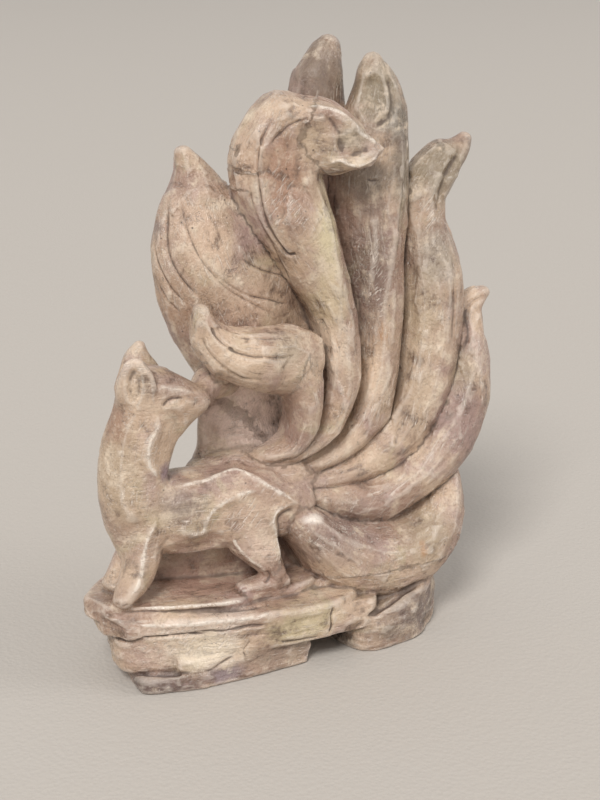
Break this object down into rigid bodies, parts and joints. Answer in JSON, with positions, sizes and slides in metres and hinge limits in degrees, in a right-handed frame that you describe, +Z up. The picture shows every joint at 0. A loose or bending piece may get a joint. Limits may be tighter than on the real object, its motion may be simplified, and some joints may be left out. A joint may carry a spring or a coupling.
{
  "type": "fox carving",
  "caption": "Carved stone figure of a standing fox that looks back over its fan of nine tails, on a stratified rock base cut from the same stone.",
  "frame": {"origin": "on the flat underside, below the fox's rump, near the middle of the base's length", "axes": "+Z up, +X along the base from the fox's chest towards the tails, -Y the carved front"},
  "size_m": [0.1555, 0.0617, 0.2016],
  "materials": {
    "moonstone": "polished beige-pink feldspar with cream, lilac and grey patches, brown in the creases"
  },
  "bodies": {
    "root": {"fox_carving": "moonstone"}
  },
  "joints": []
}
